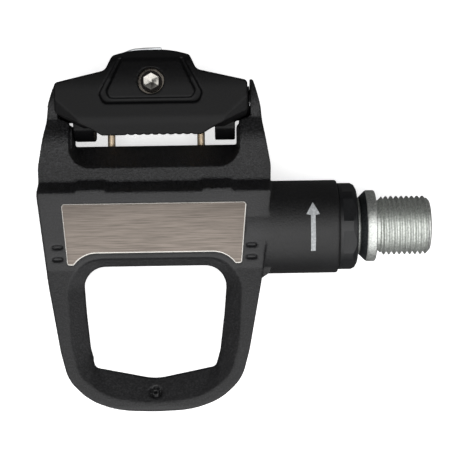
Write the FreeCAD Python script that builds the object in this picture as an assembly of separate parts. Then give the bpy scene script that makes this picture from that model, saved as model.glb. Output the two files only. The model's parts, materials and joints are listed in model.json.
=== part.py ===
import FreeCAD, Part
import math
import os

# Clipless road pedal, right side, in millimetres.
# +X runs along the axle towards the crank, +Y to the sprung rear jaw and +Z up to the shoe.
# The origin is on the axle's axis, at the face of its flange that seats on the crank arm.
# Most pieces are symmetric about the pedal's centreline, so their widths are given as u = X - CENTRE_X.

vector = FreeCAD.Vector
X_AXIS = vector(1, 0, 0)
Y_AXIS = vector(0, 1, 0)
Z_AXIS = vector(0, 0, 1)

# ---- driving dimensions ----
CENTRE_X = -53.0            # the pedal's centreline: 53 mm outboard of the crank face
THROUGH = 60.0              # a cut that runs right through
FIT = 0.05                  # radial clearance where a piece turns on another

# body heights
PLATFORM_Z = 11.0
DECK_Z = 6.5                # rear deck behind the platform
LEDGE_Z = -3.0              # foot of the rear slope
BELLY_Z = -7.5
RIM_RISE = 0.187            # the rails climb this much per millimetre towards the nose
RAIL_START_Y = -9.5
NOSE_Y = -42.2
FUNNEL_DEPTH = 2.2          # how far the funnel's inner edge lies below the rails
HOOK_Z = 12.0               # underside of the front hook
CLIP_SLOT_U = (21.6, 24.1)  # two short slots each side, where the wear plate's tabs are staked
CLIP_SLOT_Y = (-4.5, -7.3)
CLIP_SLOT_WIDTH = 0.95
CLIP_SLOT_DEPTH = 2.5

# wear plate
PLATE_LOW_Z = 10.8
PLATE_TOP_Z = 11.3

# axle tube of the body
TUBE_R = 11.3
INNER_TUBE_R = 9.4
TUBE_END_X = -9.2
NUT_BORE_R = 9.2
NUT_BORE_END_X = -17.0
BORE_R = 7.0
BORE_END_X = -71.5
BLIND_R = 6.2
BLIND_END_X = -77.2

# rear pivot
PIN_Y = 30.4
PIN_Z = -1.5
PIN_R = 2.0
EAR_R = 4.5
EAR_INNER_U = 23.3
EAR_OUTER_U = 25.6

# rear jaw
JAW_U = 22.4
JAW_FRONT_Y = 21.9
JAW_BACK_Y = 42.25
LIP_LOW_Z = 15.0
LUG_R = 8.8
LUG_U = (14.6, 19.5)
CHEEK_INNER_U = 20.0
CHEEK_OUTER_U = 23.1
CHEEK_R = 4.2
CHEEK_TOP_Z = 3.2           # the body leaves room for the cheeks up to here
BADGE_Z = (5.0, 9.6)

# tension screw
SCREW_Y = 34.45
SCREW_R = 2.45
INSERT_R = 3.6

# spring
WIRE_R = 0.95
COIL_R = 4.2
LEG_U = 11.1
COIL_END_U = 6.0
COIL_TURNS = 2.5
BRIDGE_Y = 37.0
LEG_END_Y = 16.2

# axle
THREAD_R = 7.14
THREAD_LENGTH = 12.2
AXLE_TIP_X = 13.2
FLANGE_R = 8.65
NECK_R = 6.8
NEEDLE_RACE_R = 4.97
NECK_END_X = -3.9
SEAT_R = 3.5
LOCKNUT_R = 3.0
HEX_KEY = 8.0

# retaining nut
NUT_FLATS = 8
NUT_FLAT_WIDTH = 6.4
NUT_FLAT_R = 10.1

# bearings
NEEDLE_X = (-34.0, -22.0)
NEEDLE_R = 0.69
NEEDLE_PITCH_R = 5.69
NEEDLE_COUNT = 18
SHELL_INNER_R = 6.4
BALL_R = 1.17
BALL_PITCH_R = 5.25
BALL_COUNT = 10
RACE_WIDTH = 5.0
INNER_RACE_R = 4.6
OUTER_RACE_R = 5.9
GROOVE_R = 1.19
OUTBOARD_X = BORE_END_X + RACE_WIDTH / 2
INBOARD_X = OUTBOARD_X + RACE_WIDTH
SEAT_END_X = BORE_END_X + 2 * RACE_WIDTH
WASHER_THICK = 0.6


# ---- helpers ----
def rounded_edges(corners, closed=True):
    """Edges through corners (x, y, z, radius), with a tangent arc at each corner that has a radius."""
    count = len(corners)
    stops = []
    for i, (x, y, z, radius) in enumerate(corners):
        here = vector(x, y, z)
        if radius == 0 or (not closed and i in (0, count - 1)):
            stops.append((here, None, here))
            continue
        back = (vector(*corners[i - 1][:3]) - here).normalize()
        ahead = (vector(*corners[(i + 1) % count][:3]) - here).normalize()
        half = back.getAngle(ahead) / 2
        reach = radius / math.tan(half)
        middle = here + (back + ahead).normalize() * (radius / math.sin(half) - radius)
        stops.append((here + back * reach, middle, here + ahead * reach))
    edges = []
    for i, (start, middle, end) in enumerate(stops):
        if middle is not None:
            edges.append(Part.Arc(start, middle, end).toShape())
        if closed or i < count - 1:
            following = stops[(i + 1) % count][0]
            if end.distanceToPoint(following) > 1e-6:
                edges.append(Part.LineSegment(end, following).toShape())
    return edges


def rounded_wire(corners, closed=True):
    return Part.Wire(rounded_edges(corners, closed))


def both_sides(half, level):
    """A closed outline from half of it, as (u, y, radius); level gives the height at a y."""
    right = [(CENTRE_X + u, y, level(y), r) for u, y, r in half]
    left = [(CENTRE_X - u, y, level(y), r) for u, y, r in reversed(half) if u > 0]
    return right + left


def flat(z):
    return lambda y: z


def plan_prism(half, low, high):
    """The symmetric plan outline, from height low to height high."""
    face = Part.Face(rounded_wire(both_sides(half, flat(low))))
    return face.extrude(Z_AXIS * (high - low))


def side_prism(corners, u_low, u_high):
    """A side outline of (y, z, radius), from u_low to u_high."""
    outline = [(CENTRE_X + u_low, y, z, r) for y, z, r in corners]
    return Part.Face(rounded_wire(outline)).extrude(X_AXIS * (u_high - u_low))


def both_side_prisms(corners, u_low, u_high):
    right = side_prism(corners, u_low, u_high)
    return right.fuse(side_prism(corners, -u_high, -u_low))


def sloped_opening(lower_half, lower_level, upper_half, upper_level):
    """A cut with a slope from the upper outline in to the lower one, open above."""
    lower = rounded_wire(both_sides(lower_half, lower_level))
    upper = rounded_wire(both_sides(upper_half, upper_level))
    slopes = Part.makeLoft([lower, upper], True, True)
    return slopes.fuse(Part.Face(upper).extrude(Z_AXIS * THROUGH))


def drop_through(half, level):
    """The outline carried straight down right through the part."""
    return Part.Face(rounded_wire(both_sides(half, level))).extrude(Z_AXIS * -THROUGH)


def box(u_range, y_range, z_range):
    size = [high - low for low, high in (u_range, y_range, z_range)]
    corner = vector(CENTRE_X + u_range[0], y_range[0], z_range[0])
    return Part.makeBox(*size, corner)


def both_boxes(u_range, y_range, z_range):
    mirror_range = (-u_range[1], -u_range[0])
    return box(u_range, y_range, z_range).fuse(box(mirror_range, y_range, z_range))


def rod(radius, x_low, x_high, y=0.0, z=0.0):
    return Part.makeCylinder(radius, x_high - x_low, vector(x_low, y, z), X_AXIS)


def ring(inner, outer, x_low, x_high):
    return rod(outer, x_low, x_high).cut(rod(inner, x_low - 1, x_high + 1))


def post(radius, z_low, z_high, y):
    return Part.makeCylinder(radius, z_high - z_low, vector(CENTRE_X, y, z_low), Z_AXIS)


def turned(profile):
    """A solid turned about the axle's axis from (x, radius) points, closed along the axis."""
    points = [vector(x, radius, 0) for x, radius in profile]
    points = [vector(profile[0][0], 0, 0)] + points + [vector(profile[-1][0], 0, 0)]
    face = Part.Face(Part.makePolygon(points + [points[0]]))
    return face.revolve(vector(0, 0, 0), X_AXIS, 360)


def hexagon(across_flats, x_low, x_high):
    radius = across_flats / math.sqrt(3)
    points = []
    for i in range(7):
        angle = math.radians(60 * i)
        points.append(vector(x_low, radius * math.cos(angle), radius * math.sin(angle)))
    return Part.Face(Part.makePolygon(points)).extrude(X_AXIS * (x_high - x_low))


def around(shape, count):
    """Copies of a shape, evenly spaced round the axle."""
    copies = []
    for i in range(count):
        turned_copy = shape.copy()
        turned_copy.rotate(vector(0, 0, 0), X_AXIS, 360 * i / count)
        copies.append(turned_copy)
    return copies


def mirrored(shape):
    return shape.mirror(vector(CENTRE_X, 0, 0), X_AXIS)


def save(node, shape):
    if len(shape.Solids) == 1:
        shape = shape.removeSplitter()
    shape.exportStep("parts/" + node + ".step")
    print(node, len(shape.Solids), "solids", round(shape.Volume, 1), "mm3", shape.isValid())


# ---- body ----
BODY_OUTLINE = [
    (0, NOSE_Y, 0), (8.5, -41.9, 24), (15.4, -39.4, 14), (20.2, -34.8, 9), (22.0, -28.5, 25),
    (25.3, -11.6, 60), (27.7, 8, 20), (27.9, 15.0, 8), (26.1, 25.5, 20), (EAR_OUTER_U, 31, 8),
    (EAR_OUTER_U, 36, 0),
]
FUNNEL_TOP = [
    (0, -40.5, 40), (10.5, -39.4, 16), (17.6, -34.4, 8), (19.8, -27, 25), (20.95, -6.9, 8), (0, -6.9, 0),
]
WINDOW = [
    (0, -35.0, 12), (14.0, -32.2, 1.3), (15.1, -28.5, 6), (16.2, -20, 25), (17.2, -8.8, 5), (0, -8.8, 0),
]
WINDOW_FOOT = [
    (0, -35.0, 12), (15.6, -32.2, 1.3), (16.8, -28.5, 6), (17.8, -20, 25), (18.8, -8.8, 5), (0, -8.8, 0),
]
HOOK_POCKET = [
    (0, -39.9, 0), (7, -39.6, 15), (12.8, -38.0, 8), (16.8, -34.4, 4), (16.4, -31.0, 0), (0, -31.0, 0),
]


def rail_level(y):
    return PLATFORM_Z + RIM_RISE * max(0.0, RAIL_START_Y - y)


def rail_plane(drop):
    """The inclined plane of the rails' tops, lowered by drop."""
    return lambda y: PLATFORM_Z + RIM_RISE * (RAIL_START_Y - y) - drop


def body_side():
    ear_low = PIN_Z - EAR_R
    ear_high = PIN_Z + EAR_R
    ear_end = PIN_Y + EAR_R
    return [
        (NOSE_Y - 0.5, rail_level(NOSE_Y), 1.5), (RAIL_START_Y, PLATFORM_Z, 0),
        (8.9, PLATFORM_Z, 0), (11.4, DECK_Z, 0), (22.3, DECK_Z, 6), (27.2, ear_high, 4),
        (ear_end, ear_high, EAR_R - 0.1), (ear_end, ear_low, EAR_R - 0.1), (24, BELLY_Z, 10),
        (-9.5, BELLY_Z, 3), (-12.5, -4.0, 4), (-38, 6.5, 8), (NOSE_Y - 0.5, 9.5, 3),
    ]


def body_blank():
    """The block that the plan and the side view share, with the axle tube."""
    plan = plan_prism(BODY_OUTLINE, -THROUGH / 2, THROUGH / 2)
    side = side_prism(body_side(), -THROUGH / 2, THROUGH / 2)
    blank = plan.common(side)
    outer_tube = rod(TUBE_R, CENTRE_X + 21, TUBE_END_X)
    inner_tube = rod(INNER_TUBE_R, CENTRE_X - 26.4, CENTRE_X + 22)
    # two webs blend the tube into the body's side
    web = plan_prism([(0, -9, 0), (24, -13, 0), (27.5, -TUBE_R + 0.6, 0), (28.5, 0, 0),
                      (27.5, TUBE_R - 0.6, 0), (24, 14, 0), (0, 9, 0)], -6, 6)
    web = web.common(box((20, 29), (-14, 15), (-7, 7)))
    return blank.fuse([outer_tube, inner_tube, web])


def window_cut():
    """The window with the funnel round its top; its walls fall away under the edge."""
    edge_level = rail_plane(FUNNEL_DEPTH)
    foot_level = rail_plane(FUNNEL_DEPTH + 16)
    funnel = sloped_opening(WINDOW, edge_level, FUNNEL_TOP, rail_plane(0.0))
    edge = rounded_wire(both_sides(WINDOW, edge_level))
    foot = rounded_wire(both_sides(WINDOW_FOOT, foot_level))
    walls = Part.makeLoft([foot, edge], True, True)
    return funnel.fuse([walls, drop_through(WINDOW_FOOT, foot_level)])


def rear_opening_cut():
    """The space between the arms, with the slope down to the ledge, and the wider space between the ears."""
    arm_u = 20.4
    back_y = 40.0
    ledge = [(0, 20.5, 0), (arm_u, 20.5, 1.0), (arm_u, back_y, 0), (0, back_y, 0)]
    slope_top = [(0, 14.8, 0), (arm_u, 14.8, 5.0), (arm_u, back_y, 0), (0, back_y, 0)]
    ears_low = [(0, 25.6, 0), (EAR_INNER_U, 25.6, 1.0), (EAR_INNER_U, back_y, 0), (0, back_y, 0)]
    # above the cheeks the arms reach further back, up to the jaw's own slanted edge
    ears_high = [(0, 25.9, 0), (arm_u, 25.9, 0), (EAR_INNER_U, 27.2, 0.5), (EAR_INNER_U, back_y, 0), (0, back_y, 0)]
    slope = sloped_opening(ledge, flat(LEDGE_Z), slope_top, flat(DECK_Z))
    ears = [plan_prism(ears_low, -THROUGH, CHEEK_TOP_Z), plan_prism(ears_high, CHEEK_TOP_Z - 1, THROUGH)]
    return slope.fuse([drop_through(ledge, flat(LEDGE_Z))] + ears)


def belly_pockets():
    """Coring under the deck and the arms, which keeps the moulding's walls even."""
    pockets = []
    for u_low in (-17.6, -8.6, 1.4, 10.4):
        pockets.append(box((u_low + 0.4, u_low + 6.8), (12.0, 14.6), (BELLY_Z - 5, 3.6)))
    arm = both_side_prisms([(12.0, BELLY_Z - 5, 0), (12.0, 3.8, 0), (21.0, 3.8, 0), (23.5, 1.0, 0),
                            (23.5, BELLY_Z - 5, 0)], 22.4, 24.6)
    return pockets + [arm]


def pedal_body():
    body = body_blank()
    pad = both_side_prisms([(6, PLATFORM_Z, 0), (9.5, PLATFORM_Z, 0), (11.8, DECK_Z, 0), (6, DECK_Z, 0)],
                           11.5, 18.5)
    body = body.cut([window_cut(), rear_opening_cut()]).fuse(pad)
    leg_slots = both_boxes((LEG_U - 1.3, LEG_U + 1.3), (15.4, 21.0), (-12, PIN_Z - COIL_R + WIRE_R + 0.1))
    hook_pocket = plan_prism(HOOK_POCKET, -THROUGH / 2, HOOK_Z)
    plate_seat = plan_prism(plate_outline(0.1), PLATE_LOW_Z, THROUGH / 2)
    bores = [
        rod(NUT_BORE_R, NUT_BORE_END_X, TUBE_END_X + 1),
        rod(BORE_R, BORE_END_X, NUT_BORE_END_X + 1),
        rod(BLIND_R, BLIND_END_X, BORE_END_X + 1),
        rod(PIN_R, CENTRE_X - 30, CENTRE_X + 30, PIN_Y, PIN_Z),
    ]
    clip_slots = [
        both_boxes(CLIP_SLOT_U, (y, y + CLIP_SLOT_WIDTH), (PLATFORM_Z - CLIP_SLOT_DEPTH, THROUGH))
        for y in CLIP_SLOT_Y
    ]
    return body.cut([leg_slots, hook_pocket, plate_seat] + bores + clip_slots + belly_pockets())


# ---- wear plate ----
def plate_outline(gap):
    return [
        (0, -5.55 - gap, 0), (16.9, -5.55 - gap, 6.5), (19.0, -8.3 - gap, 0.3),
        (20.6 + gap, -8.3 - gap, 0.7), (21.9 + gap, 6.25 + gap, 0.8), (0, 6.25 + gap, 0),
    ]


def wear_plate():
    return plan_prism(plate_outline(0.0), PLATE_LOW_Z, PLATE_TOP_Z)


# ---- axle and what holds it ----
def axle():
    blank = turned([
        (-76.2, LOCKNUT_R - 0.4), (-75.8, LOCKNUT_R), (BORE_END_X, LOCKNUT_R), (BORE_END_X, SEAT_R),
        (SEAT_END_X, SEAT_R), (SEAT_END_X, INNER_RACE_R), (-36.0, INNER_RACE_R), (-35.0, NEEDLE_RACE_R),
        (-18.0, NEEDLE_RACE_R), (-11.0, NECK_R), (NECK_END_X, NECK_R), (-2.1, FLANGE_R), (0.0, FLANGE_R),
        (0.0, THREAD_R), (THREAD_LENGTH, THREAD_R), (AXLE_TIP_X, THREAD_R - 1.0),
    ])
    return blank.cut(hexagon(HEX_KEY, AXLE_TIP_X - 10, AXLE_TIP_X + 1))


def axle_retaining_nut():
    """The splined nut: a threaded shank in the tube, and a nose that holds the needle bearing."""
    nut = turned([
        (-22.0, BORE_R - 0.02), (NUT_BORE_END_X, BORE_R - 0.02), (NUT_BORE_END_X, NUT_BORE_R - 0.02),
        (-8.9, NUT_BORE_R - 0.02), (-8.9, 10.5), (-5.6, 10.5), (-4.5, 7.7),
    ])
    bore = turned([
        (-23.0, 5.5), (-16.5, 5.5), (-16.5, 7.1), (-8.0, 7.1), (-8.0, 8.3), (-4.9, 8.3), (-4.9, 7.2),
        (-4.0, 7.2),
    ])
    flat_cut = Part.makeBox(6, NUT_FLAT_WIDTH, 2, vector(-8.5, -NUT_FLAT_WIDTH / 2, NUT_FLAT_R))
    flat_cut.rotate(vector(0, 0, 0), X_AXIS, 180 / NUT_FLATS)
    return nut.cut([bore] + around(flat_cut, NUT_FLATS))


def lip_seal():
    return ring(NECK_R + FIT, 8.3, -8.0, -5.0)


def nut_seal_ring():
    return ring(NUT_BORE_R, 10.3, TUBE_END_X, -8.9)


def locknut_washer():
    return ring(LOCKNUT_R, 5.2, BORE_END_X - WASHER_THICK, BORE_END_X)


def axle_locknut():
    nut = hexagon(9.6, -75.0, BORE_END_X - WASHER_THICK)
    return nut.cut(rod(LOCKNUT_R, -76, BORE_END_X))


# ---- bearings ----
def needle_shell():
    shell = ring(SHELL_INNER_R, BORE_R, *NEEDLE_X)
    lips = [ring(5.2, BORE_R, NEEDLE_X[0], NEEDLE_X[0] + 0.6), ring(5.2, BORE_R, NEEDLE_X[1] - 0.6, NEEDLE_X[1])]
    return shell.fuse(lips)


def needle_cage():
    cage = ring(NEEDLE_PITCH_R - 0.3, NEEDLE_PITCH_R + 0.3, NEEDLE_X[0] + 0.8, NEEDLE_X[1] - 0.8)
    slot = rod(NEEDLE_R + 0.04, NEEDLE_X[0] + 1.7, NEEDLE_X[1] - 1.7, NEEDLE_PITCH_R)
    return cage.cut(around(slot, NEEDLE_COUNT))


def needle_rollers():
    needle = rod(NEEDLE_R, NEEDLE_X[0] + 1.8, NEEDLE_X[1] - 1.8, NEEDLE_PITCH_R)
    return Part.makeCompound(around(needle, NEEDLE_COUNT))


def groove(x):
    return Part.makeTorus(BALL_PITCH_R, GROOVE_R, vector(x, 0, 0), X_AXIS)


def inner_race(x):
    return ring(SEAT_R, INNER_RACE_R, x - RACE_WIDTH / 2, x + RACE_WIDTH / 2).cut(groove(x))


def outer_race(x):
    return ring(OUTER_RACE_R, BORE_R, x - RACE_WIDTH / 2, x + RACE_WIDTH / 2).cut(groove(x))


def ball(x, radius):
    return Part.makeSphere(radius, vector(x, BALL_PITCH_R, 0))


def ball_cage(x):
    cage = ring(BALL_PITCH_R - 0.3, BALL_PITCH_R + 0.3, x - 1.7, x + 1.7)
    return cage.cut(around(ball(x, BALL_R + 0.03), BALL_COUNT))


def balls(x):
    return Part.makeCompound(around(ball(x, BALL_R), BALL_COUNT))


# ---- rear jaw ----
JAW_OUTLINE = [
    (0, JAW_FRONT_Y, 0), (11.6, JAW_FRONT_Y, 0.8), (13.9, 23.3, 3), (19.3, 25.8, 2), (JAW_U, 27.3, 1),
    (JAW_U, 34.2, 1), (10.6, 37.0, 2), (9.0, 40.7, 1.2), (4.5, JAW_BACK_Y, 20), (0, JAW_BACK_Y, 0),
]
JAW_HOLLOW = [
    (0, 27.0, 0), (13.0, 27.0, 1), (CHEEK_INNER_U, 29.9, 1), (CHEEK_INNER_U, 33.0, 1), (12.6, 35.6, 1),
    (8.2, 36.0, 0.6), (7.0, 39.6, 1), (4.2, 40.3, 0.6), (0, 40.3, 0),
]
GROOVE_OUTER = [(0, 29.2, 0), (11.0, 29.2, 1.5), (12.0, 31.4, 1.5), (7.6, 40.0, 0), (0, 40.0, 0)]
GROOVE_INNER = [(0, 30.4, 0), (9.5, 30.4, 1.2), (10.3, 31.8, 1.2), (6.4, 40.1, 0), (0, 40.1, 0)]


BADGE_OUTLINE = [
    (-7.6, 40.0, 0), (-7.6, 41.5, 0.2), (-4.6, 42.7, 6), (-1.4, 42.95, 6), (2.3, 42.95, 0.2), (2.3, 40.0, 0),
]


def jaw_side():
    return [
        (JAW_FRONT_Y - 1, LIP_LOW_Z - 0.3, 0), (JAW_FRONT_Y - 1, 15.5, 0), (25.1, 17.3, 5.0), (35.0, 16.7, 20),
        (39.6, 15.2, 3), (JAW_BACK_Y, 11.5, 1.5), (JAW_BACK_Y, -3.6, 0.6), (40.0, -3.6, 0.6),
        (39.4, PIN_Z, 0), (24.6, PIN_Z, 0), (24.6, 14.2, 0.5),
    ]


def jaw_lugs():
    disc = rod(LUG_R, CENTRE_X + LUG_U[0], CENTRE_X + LUG_U[1], PIN_Y, PIN_Z)
    keep = box(LUG_U, (20, PIN_Y), (-5.1, 4.6))
    lug = disc.common(keep)
    return lug.fuse(mirrored(lug))


def rear_jaw():
    plan = plan_prism(JAW_OUTLINE, -THROUGH / 2, THROUGH / 2)
    shell = plan.common(side_prism(jaw_side(), -THROUGH / 2, THROUGH / 2))
    hollow = plan_prism(JAW_HOLLOW, -THROUGH / 2, 13.2)
    coil_space = box((-LUG_U[0], LUG_U[0]), (20, 28), (-THROUGH / 2, 4.4))
    shell = shell.cut([hollow, coil_space])
    bosses = rod(CHEEK_R, CENTRE_X + CHEEK_INNER_U, CENTRE_X + CHEEK_OUTER_U, PIN_Y, PIN_Z)
    bosses = bosses.fuse(mirrored(bosses))
    ribs = both_boxes((LUG_U[0], LUG_U[1]), (26.0, PIN_Y), (0.0, 13.4))
    guides = both_boxes((4.6, 5.8), (36.6, 40.4), (4.1, 13.3))
    insert_boss = post(5.2, 7.4, 13.3, SCREW_Y)
    jaw = shell.fuse([bosses, jaw_lugs(), ribs, guides, insert_boss])
    groove_ring = plan_prism(GROOVE_OUTER, -THROUGH / 2, THROUGH / 2)
    groove_ring = groove_ring.cut(plan_prism(GROOVE_INNER, -THROUGH / 2, THROUGH / 2))
    cap = side_prism([(28, 16.5, 0), (35, 16.0, 0), (39.6, 14.5, 0), (42, 13.0, 0), (42, 20, 0), (28, 20, 0)],
                     -14, 14)
    return jaw.cut([
        rod(PIN_R + FIT, CENTRE_X - 30, CENTRE_X + 30, PIN_Y, PIN_Z),
        post(INSERT_R, 7.0, 12.4, SCREW_Y),
        post(3.1, 12.3, 20, SCREW_Y),
        groove_ring.common(cap),
    ])


def rear_badge():
    """A strip that follows the jaw's curved back, to the left of its middle."""
    outline = [(CENTRE_X + u, y, BADGE_Z[0], r) for u, y, r in BADGE_OUTLINE]
    strip = Part.Face(rounded_wire(outline)).extrude(Z_AXIS * (BADGE_Z[1] - BADGE_Z[0]))
    return strip.cut(plan_prism(JAW_OUTLINE, -THROUGH / 2, THROUGH / 2))


# ---- tension screw and its plate ----
def thread_insert():
    return post(INSERT_R, 7.4, 12.3, SCREW_Y).cut(post(SCREW_R + FIT, 7.0, 13.0, SCREW_Y))


def tension_screw():
    screw = post(SCREW_R, 7.0, 14.6, SCREW_Y).fuse(post(1.45, 5.3, 7.1, SCREW_Y))
    key = hexagon(3.0, 0, 2.5)
    key.rotate(vector(0, 0, 0), Y_AXIS, -90)
    key.translate(vector(CENTRE_X, SCREW_Y, 12.2))
    return screw.cut(key)


def tension_plate():
    low = PIN_Z + COIL_R + WIRE_R + 0.05
    plate = box((-4.4, 4.4), (31.3, 39.2), (low, 6.4))
    return plate.cut(post(1.5, 5.2, 8.0, SCREW_Y))


# ---- spring and pin ----
def swept_wire(edges, start, direction):
    section = Part.Wire(Part.makeCircle(WIRE_R, start, direction))
    return Part.Wire(edges).makePipeShell([section], True, True)


def spring_coil():
    """One leg and its coil: it starts under the pin by the leg and ends over the pin by the bridge."""
    pitch = (LEG_U - COIL_END_U) / COIL_TURNS
    helix = Part.makeHelix(pitch, LEG_U - COIL_END_U, COIL_R)
    helix.rotate(vector(0, 0, 0), Y_AXIS, 90)
    helix.translate(vector(CENTRE_X - LEG_U, PIN_Y, PIN_Z))
    leg_end = vector(CENTRE_X - LEG_U, LEG_END_Y, PIN_Z - COIL_R)
    leg = Part.LineSegment(leg_end, vector(leg_end.x, PIN_Y, leg_end.z)).toShape()
    return swept_wire([leg] + helix.Edges, leg_end, Y_AXIS)


def torsion_spring():
    """Two coils on the pin and the bridge that joins them, which meets each coil's end face."""
    top = PIN_Z + COIL_R
    left = CENTRE_X - COIL_END_U
    right = CENTRE_X + COIL_END_U
    path = [(left, PIN_Y, top, 0), (left, BRIDGE_Y, top, 2.0), (right, BRIDGE_Y, top, 2.0), (right, PIN_Y, top, 0)]
    bridge = swept_wire(rounded_edges(path, False), vector(left, PIN_Y, top), Y_AXIS)
    coil = spring_coil()
    return Part.makeCompound([coil, mirrored(coil), bridge])


def spring_bush():
    outer = rod(3.2, CENTRE_X - 13.2, CENTRE_X - 4.6, PIN_Y, PIN_Z)
    flange = rod(CHEEK_R, CENTRE_X - 14.2, CENTRE_X - 13.2, PIN_Y, PIN_Z)
    return outer.fuse(flange).cut(rod(PIN_R, CENTRE_X - 15, CENTRE_X - 4, PIN_Y, PIN_Z))


def jaw_pin():
    return rod(PIN_R, CENTRE_X - 24.9, CENTRE_X + 24.9, PIN_Y, PIN_Z)


# ---- write every piece ----
os.makedirs("parts", exist_ok=True)

save("pedal_body", pedal_body())
save("wear_plate", wear_plate())
save("axle", axle())
save("axle_retaining_nut", axle_retaining_nut())
save("nut_seal_ring", nut_seal_ring())
save("lip_seal", lip_seal())
save("needle_shell", needle_shell())
save("needle_cage", needle_cage())
save("needle_rollers", needle_rollers())
save("bearing_spacer", ring(6.0, BORE_R, SEAT_END_X, NEEDLE_X[0]))
for place, middle in (("outboard", OUTBOARD_X), ("inboard", INBOARD_X)):
    save("outer_race_" + place, outer_race(middle))
    save("inner_race_" + place, inner_race(middle))
    save("ball_cage_" + place, ball_cage(middle))
    save("balls_" + place, balls(middle))
save("locknut_washer", locknut_washer())
save("axle_locknut", axle_locknut())
save("rear_jaw", rear_jaw())
save("rear_badge", rear_badge())
save("thread_insert", thread_insert())
save("tension_screw", tension_screw())
save("tension_plate", tension_plate())
save("torsion_spring", torsion_spring())
save("spring_bush_left", spring_bush())
save("spring_bush_right", mirrored(spring_bush()))
save("jaw_pin", jaw_pin())
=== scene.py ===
# %% [markdown]
# A road bicycle pedal, seen from straight above. Its body is moulded composite, its claw is sprung, and its
# axle is steel. The measured frame comes first: it says where every piece is, in metres, with +X along the
# axle towards the crank, +Y towards the claw and +Z up to the rider's shoe.

# %% Load the frame
import json
import math
import bpy
import bmesh
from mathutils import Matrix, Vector


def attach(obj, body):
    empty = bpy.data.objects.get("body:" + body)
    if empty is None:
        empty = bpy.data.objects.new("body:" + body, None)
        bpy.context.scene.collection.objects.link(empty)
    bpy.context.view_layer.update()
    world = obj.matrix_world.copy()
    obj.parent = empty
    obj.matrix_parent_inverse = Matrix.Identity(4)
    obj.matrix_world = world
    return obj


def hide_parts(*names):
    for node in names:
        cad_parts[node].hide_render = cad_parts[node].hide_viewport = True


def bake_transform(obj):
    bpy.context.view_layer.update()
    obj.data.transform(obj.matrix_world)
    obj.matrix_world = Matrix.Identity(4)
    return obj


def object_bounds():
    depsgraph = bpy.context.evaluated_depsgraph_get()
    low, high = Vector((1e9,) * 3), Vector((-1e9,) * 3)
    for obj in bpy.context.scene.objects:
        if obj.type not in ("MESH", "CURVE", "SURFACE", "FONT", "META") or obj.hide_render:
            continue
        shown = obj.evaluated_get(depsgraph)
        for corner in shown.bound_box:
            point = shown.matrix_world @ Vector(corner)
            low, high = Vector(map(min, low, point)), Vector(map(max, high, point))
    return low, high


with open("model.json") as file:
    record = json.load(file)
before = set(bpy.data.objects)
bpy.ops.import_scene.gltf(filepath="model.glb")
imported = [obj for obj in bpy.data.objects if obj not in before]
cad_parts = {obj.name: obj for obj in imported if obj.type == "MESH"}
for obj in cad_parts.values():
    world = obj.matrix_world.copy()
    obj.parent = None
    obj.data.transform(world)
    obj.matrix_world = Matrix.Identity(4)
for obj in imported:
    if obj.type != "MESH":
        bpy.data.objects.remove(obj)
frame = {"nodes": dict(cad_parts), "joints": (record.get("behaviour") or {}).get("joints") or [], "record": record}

MM = 0.001
cad_low, cad_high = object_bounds()
print("frame box in mm:", [round(v / MM, 1) for v in (*cad_low, *cad_high)])

# %% [markdown]
# A few landmarks place nearly everything. The axle lies on X with the crank face at 0, the pedal's
# centreline crosses it 53 mm outboard, and the claw turns on a cross pin behind and just below the axle.

# %% Landmarks
platform = next(m for m in frame["record"]["mounts"] if m["name"] == "cleat_platform")
pivot = next(j for j in frame["joints"] if j["name"] == "jaw_pivot")
CENTRE_X = platform["pos_m"][0] / MM
PLATE_TOP = platform["pos_m"][2] / MM
PIN_Y = pivot["pos_m"][1] / MM
PIN_Z = pivot["pos_m"][2] / MM
print("centreline", CENTRE_X, "plate", PLATE_TOP, "pin", PIN_Y, PIN_Z)

# %% [markdown]
# The camera hangs above the pedal and looks straight down. A long lens keeps the sides of the body out of
# sight. It is turned by just under a degree, because the pedal lies a little askew.

# %% Camera
camera_data = bpy.data.cameras.new("top_camera")
camera_data.lens = 104
camera_data.sensor_width = 36
camera = bpy.data.objects.new("top_camera", camera_data)
camera.location = (-36.3 * MM, 0.7 * MM, 317 * MM)
camera.rotation_euler = (0, 0, math.radians(-0.9))
camera_data.clip_start = 0.01
bpy.context.scene.collection.objects.link(camera)
bpy.context.scene.camera = camera

# %% [markdown]
# Black plastic only shows its shape where something bright is mirrored in it. A large softbox overhead lights
# everything that faces up. A dimmer one at the nose end lifts the slopes that face it, so slopes that face the
# claw stay dark, and a small one on the crank's side gives the metal an edge.

# %% Lights and floor
def softbox(name, place, target, size, watts):
    light = bpy.data.lights.new(name, "AREA")
    light.shape = "RECTANGLE"
    light.size, light.size_y = (side * MM for side in size)
    light.energy = watts
    lamp = bpy.data.objects.new(name, light)
    lamp.location = Vector(place) * MM
    lamp.rotation_euler = (Vector(target) - Vector(place)).to_track_quat("-Z", "Y").to_euler()
    bpy.context.scene.collection.objects.link(lamp)
    return lamp


softbox("nose_softbox", (-40, -520, 330), (-40, 0, 0), (620, 260), 0.7)
softbox("overhead_softbox", (-40, -120, 700), (-40, 0, 0), (900, 700), 3.3)
softbox("crank_softbox", (420, -60, 260), (0, 0, 0), (220, 300), 0.35)
bpy.context.scene.view_settings.view_transform = "Standard"

bpy.ops.object.select_all(action="DESELECT")
bpy.ops.mesh.primitive_plane_add(size=3.0, location=(CENTRE_X * MM, 0, cad_low.z))
floor = bpy.context.object
floor.name = "floor"

# %% [markdown]
# Every material and the room are node trees. One helper adds a node, sets its values and wires its inputs,
# and another turns the colour codes that a printer would use into Blender's linear light.

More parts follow.
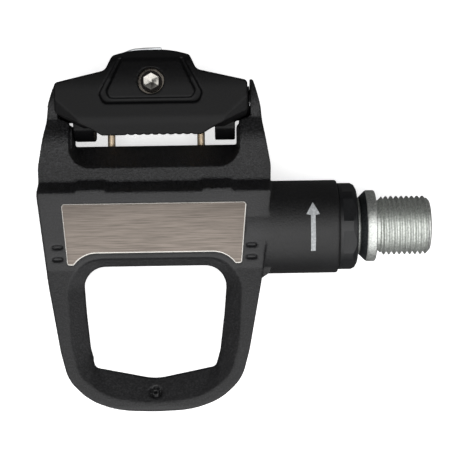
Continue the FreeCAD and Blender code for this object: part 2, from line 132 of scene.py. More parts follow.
# %% Node and colour helpers
def add_node(tree, kind, settings=None, links=None):
    """Adds a node; settings are its own properties or the values of its sockets, links are wires into it."""
    made = tree.nodes.new(kind)
    for name, value in (settings or {}).items():
        if name in made.inputs:
            made.inputs[name].default_value = value
        else:
            setattr(made, name, value)
    for name, source in (links or {}).items():
        tree.links.new(source, made.inputs[name])
    return made


def colour(code):
    """An sRGB hex colour as linear RGBA."""
    parts = [int(code[i:i + 2], 16) / 255 for i in (1, 3, 5)]
    return (*[p / 12.92 if p <= 0.04045 else ((p + 0.055) / 1.055) ** 2.4 for p in parts], 1.0)


# %% [markdown]
# The room is bright towards the nose and overhead, and dim behind the claw and at both sides, as when black
# cards stand there. The dark sides are what make the funnel's walls read as walls.
# The camera itself sees plain white, so the picture keeps its clean ground.

# %% Room
room = bpy.data.worlds.new("studio_room")
room.use_nodes = True
tree = room.node_tree
tree.nodes.clear()
direction = add_node(tree, "ShaderNodeTexCoord")
along = add_node(tree, "ShaderNodeSeparateXYZ", links={"Vector": direction.outputs["Generated"]})
falloff = add_node(tree, "ShaderNodeMapRange",
                   {"From Min": -0.05, "From Max": 0.65, "To Min": 0.75, "To Max": 0.06},
                   {"Value": along.outputs["Y"]})
sideways = add_node(tree, "ShaderNodeMath", {"operation": "ABSOLUTE"}, {"Value": along.outputs["X"]})
flags = add_node(tree, "ShaderNodeMapRange",
                 {"From Min": 0.25, "From Max": 0.8, "To Min": 1.0, "To Max": 0.2},
                 {"Value": sideways.outputs[0]})
shade = add_node(tree, "ShaderNodeMath", {"operation": "MULTIPLY"})
tree.links.new(falloff.outputs["Result"], shade.inputs[0])
tree.links.new(flags.outputs["Result"], shade.inputs[1])
card = add_node(tree, "ShaderNodeBackground", {"Color": (1, 1, 1, 1)}, {"Strength": shade.outputs[0]})
paper = add_node(tree, "ShaderNodeBackground", {"Color": (1, 1, 1, 1), "Strength": 1.0})
ray = add_node(tree, "ShaderNodeLightPath")
mixed = add_node(tree, "ShaderNodeMixShader", links={"Fac": ray.outputs["Is Camera Ray"]})
tree.links.new(card.outputs[0], mixed.inputs[1])
tree.links.new(paper.outputs[0], mixed.inputs[2])
add_node(tree, "ShaderNodeOutputWorld", links={"Surface": mixed.outputs[0]})
bpy.context.scene.world = room
print("room", len(tree.nodes), "nodes")

# %% [markdown]
# Glass-filled nylon is what the body and the claw are moulded from. Straight from a spark-eroded tool it
# has a fine pebbled skin that scatters light, so it looks charcoal rather than black, with lighter specks
# of glass. The deck behind the step has a deeper grain than the rails, and the axle tube is darker and
# smoother. Real grain is finer than this and would not show, so all of it is drawn coarser.

# %% Moulded plastics
def finish_tree(name):
    """An empty material with a shader and an output, and the Object coordinates that its patterns read."""
    material = bpy.data.materials.new(name)
    material.use_nodes = True
    tree = material.node_tree
    tree.nodes.clear()
    shader = add_node(tree, "ShaderNodeBsdfPrincipled")
    add_node(tree, "ShaderNodeOutputMaterial", links={"Surface": shader.outputs[0]})
    place = add_node(tree, "ShaderNodeTexCoord").outputs["Object"]
    return material, tree, shader, place


def tone_between(tree, shader, factor, dark, light):
    """The base colour, mixed between two hex colours by a pattern."""
    mix = add_node(tree, "ShaderNodeMix", {"data_type": "RGBA"}, {"Factor": factor})
    mix.inputs["A"].default_value = colour(dark)
    mix.inputs["B"].default_value = colour(light)
    tree.links.new(mix.outputs["Result"], shader.inputs["Base Color"])


def spread(tree, value, low, high, to_low, to_high):
    """A pattern's value between low and high, spread to another range."""
    ranged = add_node(tree, "ShaderNodeMapRange", {"From Min": low, "From Max": high, "To Min": to_low,
                                                   "To Max": to_high}, {"Value": value})
    return ranged.outputs["Result"]


def grain(tree, place, size_mm, detail=2.0, roughness=0.5):
    noise = add_node(tree, "ShaderNodeTexNoise", {"Scale": 1 / (size_mm * MM), "Detail": detail,
                                                  "Roughness": roughness}, {"Vector": place})
    return noise.outputs["Fac"]


def bumped(tree, shader, height, depth_mm, strength=1.0):
    bump = add_node(tree, "ShaderNodeBump", {"Strength": strength, "Distance": depth_mm * MM},
                    {"Height": height})
    tree.links.new(bump.outputs["Normal"], shader.inputs["Normal"])
    return bump


STEP_FRONT, STEP_BACK = 8 * MM, 10 * MM
TUBE_FAR, TUBE_NEAR = -29 * MM, -25 * MM


def calmed(tree, specks, position):
    """The specks fade on the rails, in front of the step, and darken towards the axle tube."""
    behind = position.outputs["Y"]
    even = add_node(tree, "ShaderNodeMapRange", {"From Min": 0.0, "From Max": 1.0})
    tree.links.new(specks, even.inputs["Value"])
    tree.links.new(spread(tree, behind, STEP_FRONT, STEP_BACK, 0.2, 0.0), even.inputs["To Min"])
    tree.links.new(spread(tree, behind, STEP_FRONT, STEP_BACK, 0.75, 1.0), even.inputs["To Max"])
    darker = add_node(tree, "ShaderNodeMath", {"operation": "MULTIPLY"})
    tree.links.new(even.outputs["Result"], darker.inputs[0])
    tree.links.new(spread(tree, position.outputs["X"], TUBE_FAR, TUBE_NEAR, 1.0, 0.3), darker.inputs[1])
    return darker.outputs[0]


def moulded_nylon(name, dark, light, grain_mm, depth_mm, rough, specular, deck=1.0):
    """deck is how much deeper the grain is behind the step than in front of it."""
    material, tree, shader, place = finish_tree(name)
    pebbles = grain(tree, place, grain_mm, 3.0, 0.6)
    flow = grain(tree, place, 14.0, 1.0)
    position = add_node(tree, "ShaderNodeSeparateXYZ", links={"Vector": place})
    specks = spread(tree, pebbles, 0.44, 0.66, 0.0, 1.0)
    if deck > 1:
        specks = calmed(tree, specks, position)
    clouds = spread(tree, flow, 0.3, 0.7, -0.08, 0.08)
    both = add_node(tree, "ShaderNodeMath", {"operation": "ADD", "use_clamp": True})
    tree.links.new(specks, both.inputs[0])
    tree.links.new(clouds, both.inputs[1])
    tone_between(tree, shader, both.outputs[0], dark, light)
    tree.links.new(spread(tree, pebbles, 0.3, 0.7, rough - 0.08, rough + 0.08), shader.inputs["Roughness"])
    shader.inputs["Specular IOR Level"].default_value = specular
    relief = bumped(tree, shader, pebbles, depth_mm * deck)
    share = spread(tree, position.outputs["Y"], STEP_FRONT, STEP_BACK, 1 / deck, 1.0)
    tree.links.new(share, relief.inputs["Strength"])
    return material


body_nylon = moulded_nylon("glass_filled_nylon_moulded", "#070708", "#323234", 0.42, 0.09, 0.5, 0.5, 2.6)
claw_nylon = moulded_nylon("glass_filled_nylon_satin", "#060607", "#101011", 0.3, 0.02, 0.46, 0.2)
nut_acetal = moulded_nylon("acetal_moulded_black", "#0b0c0e", "#141619", 0.3, 0.02, 0.42, 0.5)
cage_nylon = moulded_nylon("nylon_natural_moulded", "#a3957a", "#c2b598", 0.4, 0.01, 0.5, 0.5)
seal_rubber = moulded_nylon("nitrile_rubber_moulded", "#0b0b0b", "#151515", 0.25, 0.01, 0.66, 0.4)

# %% [markdown]
# The wear plate is stainless strip, brushed along the axle before it is pressed. The brush leaves long,
# shallow scratches that stretch a reflection across them, so the noise is drawn out along X, and the same
# lines move the roughness a little. The scratches are drawn coarser than real ones, so that they show.
# Stainless looks warm grey beside zinc, which is bluish white and slightly cloudy.

# %% Metals
def stretched(tree, place, factors):
    """Object coordinates scaled differently along each axis, which draws a pattern out."""
    return add_node(tree, "ShaderNodeMapping", {"Scale": factors}, {"Vector": place}).outputs["Vector"]


def metal(name, dark, light, grain_mm, depth_mm, rough, drawn=(1, 1, 1)):
    material, tree, shader, place = finish_tree(name)
    shader.inputs["Metallic"].default_value = 1.0
    lines = grain(tree, stretched(tree, place, drawn), grain_mm, 3.0, 0.65)
    tone_between(tree, shader, spread(tree, lines, 0.3, 0.7, 0.0, 1.0), dark, light)
    tree.links.new(spread(tree, lines, 0.3, 0.7, rough - 0.07, rough + 0.07), shader.inputs["Roughness"])
    bumped(tree, shader, lines, depth_mm)
    return material


brushed_stainless = metal("stainless_strip_brushed", "#514c47", "#827972", 0.15, 0.007, 0.36, (0.02, 1, 1))
brushed_stainless.node_tree.nodes["Principled BSDF"].inputs["Anisotropic"].default_value = 0.5
zinc_steel = metal("steel_zinc_plated", "#b4b8b4", "#f2f4f0", 0.45, 0.02, 0.5)
turned_zinc = metal("steel_turned_zinc_plated", "#b4b5af", "#d9dad5", 0.25, 0.004, 0.3, (1, 0.15, 0.15))
# Dark grey steel that paints shade onto the flange's outer slope, which lies in shade; the steel there is no
# darker.
flange_painted_shade_steel = metal("steel_painted_shade", "#3a3d3e", "#5f6365", 0.4, 0.01, 0.5)
ground_steel = metal("bearing_steel_ground", "#b9b9bc", "#cdcdd0", 0.2, 0.001, 0.14)
spring_wire = metal("spring_steel_drawn", "#ddc3a1", "#fff0d8", 0.2, 0.003, 0.55, (0.3, 1, 1))
black_oxide = metal("steel_black_oxide", "#0b0a0a", "#1a1817", 0.3, 0.003, 0.3)
worn_steel = metal("steel_polished_by_the_key", "#8f8c87", "#b8b5af", 0.3, 0.001, 0.16)
steel_insert = metal("steel_turned_plain", "#34312e", "#67625b", 0.2, 0.003, 0.25, (0.3, 0.3, 1))
# Near-white stainless for the wear plate's rolled edges: a painted highlight, not a different finish.
painted_highlight_edge = metal("stainless_painted_edge_highlight", "#ece8e2", "#fbf9f5", 0.3, 0.001, 0.62)
turned_aluminium = metal("aluminium_turned", "#b5b6b8", "#cccdcf", 0.2, 0.002, 0.3, (1, 0.1, 0.1))
satin_aluminium = metal("aluminium_anodised_satin", "#b9bbbd", "#d2d4d6", 0.1, 0.003, 0.32, (0.05, 1, 1))
print_ink = moulded_nylon("pad_printing_ink_grey", "#a9acae", "#c6c9cb", 0.6, 0.004, 0.5, 0.4)
print(len(bpy.data.materials), "materials")

# %% [markdown]
# These are the workshop's hand tools: picking one piece, applying a modifier, cutting one piece with
# another, and rounding edges. A piece is always modelled at its real place, so nothing has to be moved at
# the end.

# %% Hand tools
def clear_bench():
    """Object mode, with nothing selected."""
    if bpy.context.object and bpy.context.object.mode != "OBJECT":
        bpy.ops.object.mode_set(mode="OBJECT")
    bpy.ops.object.select_all(action="DESELECT")


def pick(piece):
    """Object mode, with just this piece selected and active."""
    clear_bench()
    piece.select_set(True)
    bpy.context.view_layer.objects.active = piece
    return piece


def edit_all(piece):
    """Edit mode, with everything on this piece selected."""
    pick(piece)
    bpy.ops.object.mode_set(mode="EDIT")
    bpy.ops.mesh.select_all(action="SELECT")


def done(piece):
    """Back to object mode, with the piece's place moved into its mesh."""
    pick(piece)
    bpy.ops.object.transform_apply(location=True, rotation=True, scale=True)
    return piece


def apply_modifier(piece, kind, **settings):
    pick(piece)
    modifier = piece.modifiers.new(kind.title(), kind)
    for name, value in settings.items():
        setattr(modifier, name, value)
    bpy.ops.object.modifier_apply(modifier=modifier.name)
    return piece


def triangles(piece):
    return sum(len(p.vertices) - 2 for p in piece.data.polygons)


def block(low, high, turn=(0, 0, 0)):
    """A cutting block between two corners in millimetres, turned in degrees about its middle."""
    low, high = Vector(low) * MM, Vector(high) * MM
    clear_bench()
    bpy.ops.mesh.primitive_cube_add(size=1, location=(low + high) / 2, scale=high - low,
                                    rotation=[math.radians(a) for a in turn])
    return done(bpy.context.object)


def peg(radius, length, middle, turn=(0, 0, 0), sides=48):
    """A round or many-sided peg about Z, turned in degrees about its middle."""
    clear_bench()
    bpy.ops.mesh.primitive_cylinder_add(vertices=sides, radius=radius * MM, depth=length * MM,
                                        location=Vector(middle) * MM,
                                        rotation=[math.radians(a) for a in turn])
    return done(bpy.context.object)


def carve(piece, tools, operation="DIFFERENCE"):
    """Cuts, joins or keeps what the piece shares with each tool, which is then thrown away."""
    for tool in tools:
        apply_modifier(piece, "BOOLEAN", object=tool, operation=operation, solver="EXACT")
        bpy.data.objects.remove(tool)
    return piece


def ease(piece, width, segments=2, angle=30):
    """Rounds the sharp edges by width in millimetres, and shades the rest smooth."""
    apply_modifier(piece, "BEVEL", width=width * MM, segments=segments, limit_method="ANGLE",
                   angle_limit=math.radians(angle), miter_outer="MITER_ARC")
    pick(piece)
    bpy.ops.object.shade_smooth_by_angle(angle=math.radians(angle + 5))
    return piece


def clothe(piece, name, material, body, slot, *nodes):
    """Names a finished piece, gives it its material, and hands it to the frame."""
    piece.name = piece.data.name = name
    piece.data.materials.clear()
    piece.data.materials.append(material)
    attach(piece, body)
    if nodes:
        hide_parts(*nodes)
    print(name, triangles(piece), "triangles")
    return piece


# %% [markdown]
# The body is one moulding, and its plan, window and funnel are fixed to a tenth of a millimetre by the
# frame. Re-drawing it by hand would only lose that, so its mesh is copied from the frame and merged, cut
# by hand tools for the details, and then remeshed. The remesh and a few rounds of smoothing melt every
# corner to the radius of a few tenths of a millimetre that a moulding has, and a decimation thins what came
# out flat.

# %% Copying and melting a moulding
def copy_of(node):
    """A loose copy of a frame node's mesh, with its doubled vertices merged."""
    source = frame["nodes"][node]
    piece = bpy.data.objects.new(node + "_copy", source.data.copy())
    bpy.context.scene.collection.objects.link(piece)
    pick(piece)
    if piece.data.has_custom_normals:
        bpy.ops.mesh.customdata_custom_splitnormals_clear()
    edit_all(piece)
    bpy.ops.mesh.remove_doubles(threshold=0.001 * MM)
    bpy.ops.mesh.normals_make_consistent(inside=False)
    bpy.ops.object.mode_set(mode="OBJECT")
    return piece


def melt(piece, voxel, rounds, most_triangles):
    """Remeshes with voxels of this size in millimetres, softens, and thins to a number of triangles."""
    apply_modifier(piece, "REMESH", mode="VOXEL", voxel_size=voxel * MM)
    apply_modifier(piece, "SMOOTH", factor=0.5, iterations=rounds)
    share = most_triangles / triangles(piece)
    if share < 1:
        apply_modifier(piece, "DECIMATE", ratio=share)
    pick(piece)
    bpy.ops.object.shade_smooth()
    return piece


# %% [markdown]
# The frame leaves out a shallow channel along the wear plate's front edge and the round mark of an
# ejector pin on the nose. It also has plainer ears, a wider rear opening and deeper slots than the visual
# body gets here: the ears grow and taper, jambs narrow the opening, and floors make the slots shallow.
# The last cut bores the ears for the cross pin again. The jambs' odd sizes keep their faces off the
# body's own, which an exact boolean needs.

# %% Body
NOSE_MARK, FUNNEL_FACE = (CENTRE_X, -38, 14.95), (-30.4, 0, 0)
EAR_R, EAR_WIDTH, EAR_U = 5.9, 2.34, 24.4
TAPER_U, TAPER_TURN = 27.8, 14
JAMB_U, SLOT_U, SLOTS_Y, SLOT_DEPTH = 20.35, 22.85, (-4.5, -7.3), 1.0
PIN_R, PAST_THE_EARS = 2.0, 60
ACROSS = (0, 90, 0)

body = copy_of("pedal_body")
channel = copy_of("wear_plate")
edit_all(channel)
bpy.ops.transform.translate(value=(0, -1.05 * MM, 0.6 * MM))
bpy.ops.transform.resize(value=(0.985, 1, 5), center_override=(CENTRE_X * MM, 0, 11.3 * MM))
mark = peg(1.5, 1.3, NOSE_MARK, FUNNEL_FACE)
carve(mark, [peg(0.85, 2.0, NOSE_MARK, FUNNEL_FACE)])
dot = peg(0.45, 1.4, NOSE_MARK, FUNNEL_FACE, 24)
carve(body, [channel, mark, dot])
ears, jambs, floors, tapers = [], [], [], []
for side in (-1, 1):
    jamb = CENTRE_X + side * JAMB_U
    jambs.append(block((jamb - 0.52, 19.73, -4.37), (jamb + 0.53, 24.83, 3.43)))
    ears.append(peg(EAR_R, EAR_WIDTH, (CENTRE_X + side * EAR_U, PIN_Y, PIN_Z), ACROSS))
    middle = CENTRE_X + side * TAPER_U
    tapers.append(block((middle - 3, 26.5, -20), (middle + 3, 40.5, 20), (0, 0, side * TAPER_TURN)))
    slot = CENTRE_X + side * SLOT_U
    for y in SLOTS_Y:
        floors.append(block((slot - 1.5, y - 0.2, PLATE_TOP - 3.5),
                            (slot + 1.5, y + 1.2, PLATE_TOP - SLOT_DEPTH)))
carve(body, ears, "UNION")
carve(body, jambs + floors, "UNION")
carve(body, tapers)
carve(body, [peg(PIN_R, PAST_THE_EARS, (CENTRE_X, PIN_Y, PIN_Z), ACROSS)])
melt(body, 0.27, 3, 190000)
clothe(body, "moulded_body", body_nylon, "pedal_body", "body_composite", "pedal_body")

# %% [markdown]
# A pale arrow is printed round the axle tube, to show which way the pedal turns. It is a strip of a grid:
# its rows are drawn in to a shaft and a head, wrapped round the tube, and given the thickness of a coat
# of ink.

# %% Printed arrow
TUBE_R, ARROW_X, ARROW_LENGTH, HEAD_LENGTH = 11.3, -15.5, 12.0, 3.2
SHAFT_HALF, HEAD_HALF, INK = 0.55, 1.7, 0.02
clear_bench()
bpy.ops.mesh.primitive_grid_add(x_subdivisions=2, y_subdivisions=48, size=MM)
arrow = bpy.context.object
for vertex in arrow.data.vertices:
    along = vertex.co.y / MM + 0.5
    from_tip = (1 - along) * ARROW_LENGTH
    half = SHAFT_HALF if from_tip > HEAD_LENGTH else HEAD_HALF * from_tip / HEAD_LENGTH
    angle = (along - 0.5) * ARROW_LENGTH / TUBE_R
    radius = (TUBE_R + INK) * MM
    x = (ARROW_X + 2 * half * vertex.co.x / MM) * MM
    vertex.co = (x, radius * math.sin(angle), radius * math.cos(angle))
apply_modifier(arrow, "SOLIDIFY", thickness=2 * INK * MM, offset=0)
edit_all(arrow)
bpy.ops.mesh.remove_doubles(threshold=0.001 * MM)
bpy.ops.mesh.normals_make_consistent(inside=False)
clear_bench()
clothe(arrow, "printed_arrow", print_ink, "pedal_body", "body_composite")

# %% [markdown]
# The claw is a second moulding, with a smoother skin. Its front lip is chamfered along both shoulders, and
# small notches under the lip leave the teeth that bite the cleat.

# %% Claw
SHOULDER_U, SHOULDER_TIP, SHOULDER_LEAN, SHOULDER_TURN = 17.2, 24.0, 6, 34.0
TEETH, TOOTH_R, FIRST_TOOTH_U, TOOTH_PITCH = 9, 0.55, -5.6, 1.85
claw = copy_of("rear_jaw")
cutters = []
for side in (-1, 1):
    middle = CENTRE_X + side * SHOULDER_U
    cutters.append(block((middle - 9, 21.6, 17.0), (middle + 9, 26.6, 23.0),
                         (SHOULDER_TIP, side * SHOULDER_LEAN, side * SHOULDER_TURN)))
for i in range(TEETH):
    cutters.append(peg(TOOTH_R, 3.0, (CENTRE_X + FIRST_TOOTH_U + TOOTH_PITCH * i, 21.62, 15.2), sides=16))
carve(claw, cutters)
melt(claw, 0.22, 4, 150000)
clothe(claw, "moulded_claw", claw_nylon, "rear_jaw", "jaw_composite", "rear_jaw")

# %% [markdown]
# The wear plate is a stamping: flat, with edges that the press rolled over. Its outline comes from the
# frame, and a three-step bevel rolls the edges. The rolled edges are coloured near-white, a painted
# highlight for the bright line that the light draws along them.

# %% Wear plate
plate = copy_of("wear_plate")
edit_all(plate)
bpy.ops.mesh.dissolve_limited(angle_limit=math.radians(1))
ease(plate, 0.34, 3, 40)
clothe(plate, "stamped_plate", brushed_stainless, "pedal_body", "stainless_plate", "wear_plate")
# The slanted edge faces get the near-white painted highlight.
plate.data.materials.append(painted_highlight_edge)
for face in plate.data.polygons:
    if 0.02 < face.normal.z < 0.98:
        face.material_index = 1

# %% [markdown]
# Turned parts start as half of their outline, drawn point by point beside the axle's line and then spun
# round it, as a lathe does. The first point is a plane shrunk to one vertex, and each next point is an
# extrusion.

# %% Lathe
def chain(points):
    """A line of vertices through (x, radius) points in millimetres, in the plane above the axle."""
    clear_bench()
    bpy.ops.mesh.primitive_plane_add(size=MM, location=(0, 0, 0))
    piece = bpy.context.object
    edit_all(piece)
    bpy.ops.mesh.merge(type="CENTER")
    bpy.ops.transform.translate(value=(points[0][0] * MM, 0, points[0][1] * MM))
    for (x0, r0), (x1, r1) in zip(points, points[1:]):
        step = ((x1 - x0) * MM, 0, (r1 - r0) * MM)
        bpy.ops.mesh.extrude_region_move(TRANSFORM_OT_translate={"value": step})
    return piece


def turn(points, steps=96):
    """A solid spun from (x, radius) points. They start and end on the axis, or close on themselves."""
    piece = chain(points)
    bpy.ops.mesh.select_all(action="SELECT")
    bpy.ops.mesh.spin(steps=steps, angle=math.tau, center=(0, 0, 0), axis=(1, 0, 0))
    bpy.ops.mesh.select_all(action="SELECT")
    bpy.ops.mesh.remove_doubles(threshold=0.002 * MM)
    bpy.ops.mesh.normals_make_consistent(inside=False)
    bpy.ops.object.mode_set(mode="OBJECT")
    return done(piece)


# %% [markdown]
# The axle ends in a right-hand 9/16 inch thread with 20 turns to the inch. One turn's outline, wound up
# by the Screw modifier, gives true crests and flanks; a turned blank with a chamfered end then trims it,
# and the shaft with its flange is joined on. The eight-millimetre key socket is cut last. The flange's
# outer slope is coloured dark grey steel: painted shade, because that face lies in shade.

# %% Axle
PITCH = 25.4 / 20
THREAD_R, ROOT_R, RELIEF_R = 7.14, 6.44, 6.15
turn_outline = [(0, 0), (0.10, 0.01), (0.19, 0.05), (0.51, 0.60), (0.58, 0.68), (0.66, 0.70), (0.74, 0.68),
                (0.81, 0.60), (1.13, 0.05), (1.22, 0.01), (PITCH, 0)]
thread = chain([(x - 2 * PITCH, ROOT_R + h) for x, h in turn_outline])
bpy.ops.object.mode_set(mode="OBJECT")
apply_modifier(thread, "SCREW", axis="X", angle=math.tau, screw_offset=PITCH * MM, iterations=14, steps=72,
               render_steps=72, use_merge_vertices=True, merge_threshold=0.002 * MM)
edit_all(thread)
bpy.ops.mesh.remove_doubles(threshold=0.002 * MM)
for cut_x, outer in ((0.4, False), (13.6, True)):
    bpy.ops.mesh.select_all(action="SELECT")
    bpy.ops.mesh.bisect(plane_co=(cut_x * MM, 0, 0), plane_no=(1, 0, 0), use_fill=True, clear_outer=outer,
                        clear_inner=not outer)
bpy.ops.mesh.select_all(action="SELECT")
bpy.ops.mesh.normals_make_consistent(inside=False)
bpy.ops.object.mode_set(mode="OBJECT")
blank = turn([
    (0.9, 0), (0.9, RELIEF_R - 0.02), (1.9, THREAD_R + 0.02), (12.2, THREAD_R + 0.02), (13.2, 6.1), (13.2, 0),
])
carve(thread, [blank], "INTERSECT")
shaft = turn([
    (-76.2, 0), (-76.2, 2.6), (-75.8, 3.0), (-71.5, 3.0), (-71.5, 3.5), (-61.5, 3.5), (-61.5, 4.6),
    (-36.0, 4.6), (-35.0, 4.97), (-18.0, 4.97), (-11.0, 6.8), (-4.1, 6.8), (-3.85, 6.95), (-2.35, 8.45),
    (-2.0, 8.65), (-0.25, 8.65), (0.0, 8.45), (0.0, RELIEF_R + 0.2), (0.2, RELIEF_R), (6.0, RELIEF_R), (6.0, 0),
])
carve(thread, [shaft], "UNION")
hex_radius = 4 / math.cos(math.radians(30))
carve(thread, [peg(hex_radius, 10.5, (13.2 - 10 + 5.25, 0, 0), (0, 90, 0), 6)])
pick(thread)
bpy.ops.object.shade_smooth_by_angle(angle=math.radians(32))
clothe(thread, "threaded_axle", zinc_steel, "axle", "axle_steel", "axle")
# The faces of the flange's outer slope get the dark painted-shade steel.
thread.data.materials.append(flange_painted_shade_steel)
SLOPE_START, SLOPE_END = -3.9, -2.4
for face in thread.data.polygons:
    if SLOPE_START < face.center.x / MM < SLOPE_END:
        face.material_index = 1

# %% [markdown]
# The retaining nut is black acetal with eight broad flats for its key between eight narrow lands. The flats
# fade out at the outer edge, which is rounded off.

# %% Retaining nut
nut = turn([
    (-22.0, 5.5), (-22.0, 6.98), (-17.0, 6.98), (-17.0, 9.18), (-8.9, 9.18), (-8.9, 10.5), (-5.9, 10.5),
    (-5.1, 10.1), (-4.6, 9.2), (-4.5, 7.7), (-4.9, 7.2), (-4.9, 8.3), (-8.0, 8.3), (-8.0, 7.1), (-16.5, 7.1),
    (-16.5, 5.5), (-22.0, 5.5),
])
LANDS, FLAT_MIDDLE_R = 8, 11.2
for i in range(LANDS):
    around = 360 / LANDS * (i + 0.5)
    reach = Vector((0, math.sin(math.radians(around)), math.cos(math.radians(around)))) * FLAT_MIDDLE_R
    low, high = (-8.2, reach.y - 3.2, reach.z - 1.1), (-3.0, reach.y + 3.2, reach.z + 1.1)
    carve(nut, [block(low, high, (-around, 0, 0))])
ease(nut, 0.15, 2, 28)
FACET_ANGLE = 8
bpy.ops.object.shade_smooth_by_angle(angle=math.radians(FACET_ANGLE))
clothe(nut, "splined_nut", nut_acetal, "pedal_body", "black_nut", "axle_retaining_nut")

# %% [markdown]
# The spring is one length of hard-drawn wire: two coils on the pin, two legs that push on the body and a
# bridge that pushes on the claw through the tension plate. Its centre line is worked out turn by turn and
# given a round section.

# %% Spring
WIRE_R, COIL_R, LEG_U, COIL_END_U, COIL_TURNS, BRIDGE_Y, LEG_END_Y = 0.95, 4.2, 11.1, 6.0, 2.5, 37.0, 16.2


def half_spring(side):
    """Points from a leg's end round the coil to the start of the bridge, on one side."""
    points = []
    for step in range(6):
        points.append((side * LEG_U, LEG_END_Y + step * (PIN_Y - LEG_END_Y) / 6, PIN_Z - COIL_R))
    steps = int(COIL_TURNS * 24)
    for i in range(steps + 1):
        share = i / steps
        angle = -math.pi / 2 + share * COIL_TURNS * math.tau
        points.append((side * (LEG_U - share * (LEG_U - COIL_END_U)),
                       PIN_Y + COIL_R * math.cos(angle), PIN_Z + COIL_R * math.sin(angle)))
    top = PIN_Z + COIL_R
    points += [(side * COIL_END_U, PIN_Y + step, top) for step in (1.5, 3.0, 4.6)]
    for i in range(7):
        angle = i / 6 * math.pi / 2
        corner_u = COIL_END_U - 2 + 2 * math.cos(angle)
        points.append((side * corner_u, BRIDGE_Y - 2 + 2 * math.sin(angle), top))
    return points


right_side = half_spring(1)
left_side = half_spring(-1)
wire_line = right_side + [(0, BRIDGE_Y, PIN_Z + COIL_R)] + left_side[::-1]
curve = bpy.data.curves.new("spring_line", "CURVE")
curve.dimensions = "3D"
curve.bevel_depth = WIRE_R * MM
curve.bevel_resolution = 4
curve.use_fill_caps = True
line = curve.splines.new("POLY")
line.points.add(len(wire_line) - 1)
for point, (u, y, z) in zip(line.points, wire_line):
    point.co = ((CENTRE_X + u) * MM, y * MM, z * MM, 1)
spring = bpy.data.objects.new("spring", curve)
bpy.context.scene.collection.objects.link(spring)
pick(spring)
bpy.ops.object.convert(target="MESH")
spring = bpy.context.object
pick(spring)
bpy.ops.object.shade_smooth_by_angle(angle=math.radians(50))
spring.name = spring.data.name = "torsion_wire"
spring.data.materials.clear()
spring.data.materials.append(spring_wire)
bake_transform(spring)
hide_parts("torsion_spring")
print("torsion_wire", triangles(spring), "triangles")

# %% [markdown]
# The tension screw is a black set screw. Its key socket ends in the cone that the drill left, and the key
# has polished both, so they flash when the light comes from above. The real socket takes a
# three-millimetre key; this one is drawn almost half a millimetre wider, so that it shows.

# %% Tension screw
SCREW_Y = 34.45
SOCKET_R = 2.0
screw = peg(2.45, 7.6, (CENTRE_X, SCREW_Y, 10.8), sides=64)
edit_all(screw)
bpy.ops.mesh.select_all(action="DESELECT")
head = bmesh.from_edit_mesh(screw.data)
for face in head.faces:
    face.select = face.normal.z > 0.9
head.select_flush_mode()
bmesh.update_edit_mesh(screw.data)
bpy.ops.mesh.inset(thickness=0.3 * MM)
bpy.ops.transform.translate(value=(0, 0, -0.2 * MM))
bpy.ops.object.mode_set(mode="OBJECT")
socket = peg(SOCKET_R, 3.0, (CENTRE_X, SCREW_Y, 14.1 + 1.5), sides=6)
clear_bench()
bpy.ops.mesh.primitive_cone_add(vertices=6, radius1=0.12 * MM, radius2=SOCKET_R * MM, depth=1.3 * MM,
                                location=(CENTRE_X * MM, SCREW_Y * MM, (14.11 - 0.65) * MM))
drill_cone = done(bpy.context.object)
tip = peg(1.45, 2.0, (CENTRE_X, SCREW_Y, 6.3), sides=48)
carve(screw, [socket, drill_cone])
carve(screw, [tip], "UNION")
ease(screw, 0.08, 2, 50)
clothe(screw, "tension_set_screw", black_oxide, "tension_screw", "screw_steel", "tension_screw")
screw.data.materials.append(worn_steel)
for face in screw.data.polygons:
    off_axis = math.hypot(face.center.x / MM - CENTRE_X, face.center.y / MM - SCREW_Y)
    if off_axis < SOCKET_R and 12 < face.center.z / MM < 14.05:
        face.material_index = 1

# %% [markdown]
# The badge on the claw's back is a blank satin strip with one fine groove and nothing printed on it.

# %% Badge
badge = copy_of("rear_badge")
edit_all(badge)
bpy.ops.mesh.dissolve_limited(angle_limit=math.radians(1))
line = block((CENTRE_X - 9, 42.4, 7.4), (CENTRE_X + 4, 44, 7.7))
carve(badge, [line])
ease(badge, 0.12, 2, 40)
clothe(badge, "blank_badge", satin_aluminium, "rear_jaw", "badge_metal", "rear_badge")

# %% [markdown]
# The lip seal closes the gap between the nut and the axle's neck. It is a soft ring with a thin lip that
# presses on the steel.

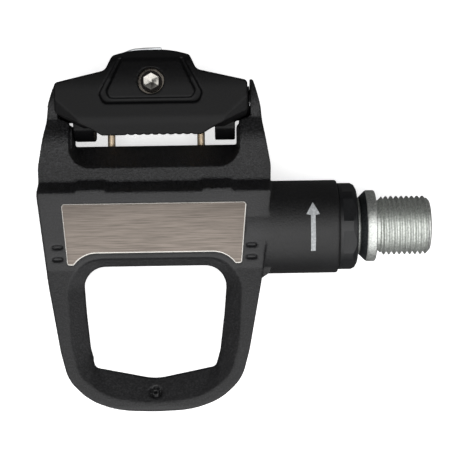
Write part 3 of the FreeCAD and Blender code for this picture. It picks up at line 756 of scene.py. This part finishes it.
# %% Lip seal
seal = turn([(-8.0, 6.85), (-8.0, 8.29), (-5.0, 8.29), (-4.95, 7.9), (-5.3, 7.5), (-5.3, 7.1), (-4.95, 6.86),
             (-5.6, 6.9), (-8.0, 6.85)], 72)
ease(seal, 0.06, 2, 30)
clothe(seal, "rubber_lip_seal", seal_rubber, "pedal_body", "seal_rubber", "lip_seal")

# %% [markdown]
# The pieces inside keep the frame's own shapes, because nobody sees more than their ends. They get the
# finishes that such parts usually have.

# %% Inner pieces
inner_finish = {
    "nut_seal_ring": seal_rubber, "needle_shell": ground_steel, "needle_cage": cage_nylon,
    "needle_rollers": ground_steel, "bearing_spacer": turned_aluminium, "locknut_washer": turned_zinc,
    "axle_locknut": zinc_steel, "thread_insert": steel_insert, "tension_plate": turned_zinc,
    "spring_bush_left": cage_nylon, "spring_bush_right": cage_nylon, "jaw_pin": ground_steel,
}
for row in ("outboard", "inboard"):
    inner_finish["outer_race_" + row] = ground_steel
    inner_finish["inner_race_" + row] = ground_steel
    inner_finish["ball_cage_" + row] = cage_nylon
    inner_finish["balls_" + row] = ground_steel
for node, finish in inner_finish.items():
    carrier = frame["nodes"][node]
    for slot in carrier.material_slots:
        slot.material = finish
print(len(inner_finish), "inner pieces finished")

# %% Floor material
floor_paper, tree, shader, place = finish_tree("paper_white_matt")
dim = add_node(tree, "ShaderNodeBsdfDiffuse", {"Color": colour("#6a6a6a")})
ray = add_node(tree, "ShaderNodeLightPath")
seen = add_node(tree, "ShaderNodeMixShader", links={"Fac": ray.outputs["Is Camera Ray"]})
tree.links.new(dim.outputs[0], seen.inputs[1])
tree.links.new(shader.outputs[0], seen.inputs[2])
tree.links.new(seen.outputs[0], tree.nodes["Material Output"].inputs["Surface"])
tone_between(tree, shader, grain(tree, place, 40.0), "#fbfbfb", "#ffffff")
shader.inputs["Roughness"].default_value = 0.9
shader.inputs["Emission Color"].default_value = (1, 1, 1, 1)
shader.inputs["Emission Strength"].default_value = 0.62
floor.data.materials.append(floor_paper)
